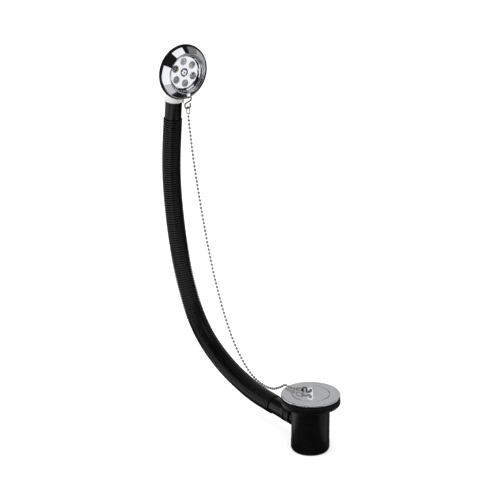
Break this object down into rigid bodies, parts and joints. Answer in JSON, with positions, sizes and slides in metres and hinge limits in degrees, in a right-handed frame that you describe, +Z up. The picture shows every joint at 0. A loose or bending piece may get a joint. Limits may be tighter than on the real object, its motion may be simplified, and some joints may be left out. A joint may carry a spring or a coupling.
{
  "type": "bath waste and overflow",
  "caption": "Bath waste with a chromed flange and a plug on a ball chain, joined by a corrugated hose to an overflow elbow with a round chromed rosette.",
  "frame": {"origin": "on the waste's axis, where the chromed flange sits on the bath", "axes": "+Z up along the waste's axis; the overflow stands at -X and its rosette faces +X"},
  "size_m": [0.3526, 0.0724, 0.4499],
  "materials": {
    "chrome": "polished",
    "chain_metal": "polished",
    "steel": "satin",
    "brass": "satin",
    "black_plastic": "satin",
    "hose_plastic": "satin",
    "white_plastic": "satin",
    "black_rubber": "matte"
  },
  "bodies": {
    "root": {"ball_chain": "chain_metal", "body_insert": "brass", "body_seal": "black_rubber", "clamping_screw": "steel", "elbow_insert": "brass", "flange_gasket": "black_rubber", "lower_chain_eye": "chain_metal", "lower_s_hook": "chain_metal", "overflow_elbow": "white_plastic", "overflow_hose": "hose_plastic", "overflow_rosette": "chrome", "overflow_seal": "black_rubber", "plug_cap": "chrome", "plug_nut": "brass", "plug_seal": "black_rubber", "plug_washer": "steel", "rosette_screw": "chrome", "upper_chain_eye": "chain_metal", "upper_s_hook": "chain_metal", "waste_body": "black_plastic", "waste_flange": "chrome"}
  },
  "joints": []
}
